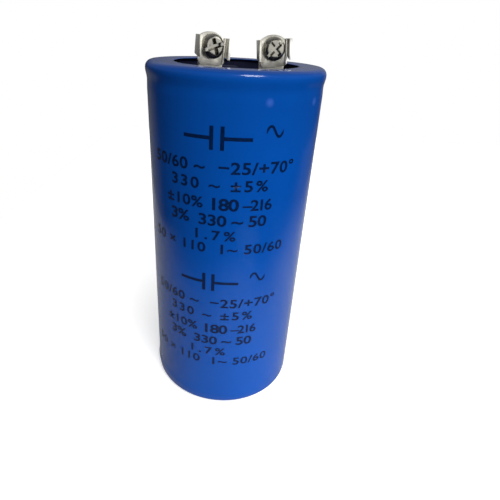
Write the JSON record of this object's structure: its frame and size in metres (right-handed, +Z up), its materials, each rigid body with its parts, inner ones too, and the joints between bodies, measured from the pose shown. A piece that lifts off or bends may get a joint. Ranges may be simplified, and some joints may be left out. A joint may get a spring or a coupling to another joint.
{
  "type": "motor start capacitor",
  "caption": "Cylindrical motor start capacitor in a blue plastic sleeve, with a recessed deck and a pair of bracket screw terminals on top.",
  "frame": {"origin": "centre of the foot, on the surface that the capacitor stands on", "axes": "+Z up along the can's axis towards the terminals, -Y the side that the terminal screws face, +X towards the right terminal"},
  "size_m": [0.0506, 0.0506, 0.1162],
  "materials": {
    "sleeve": "gloss",
    "aluminium": "satin",
    "phenolic": "matt",
    "seal_rubber": "matt",
    "board": "matt",
    "roll": "matt",
    "plated_sheet": "satin",
    "plated_screw": "gloss",
    "rivet_metal": "satin"
  },
  "bodies": {
    "root": {"outer_sleeve": "sleeve", "base_disc": "board", "can": "aluminium", "bottom_pad": "board", "winding": "roll", "winding_wrap": "roll", "top_disc": "board", "deck_board": "phenolic", "seal_ring": "seal_rubber", "vent_plug": "seal_rubber", "lead_tab_left": "aluminium", "lead_tab_right": "aluminium", "rivet_washer_left": "plated_sheet", "rivet_washer_right": "plated_sheet", "rivet_left": "rivet_metal", "rivet_right": "rivet_metal", "terminal_bracket_left": "plated_sheet", "terminal_bracket_right": "plated_sheet", "wire_clamp_left": "plated_sheet", "wire_clamp_right": "plated_sheet", "terminal_screw_left": "plated_screw", "terminal_screw_right": "plated_screw"}
  },
  "joints": []
}
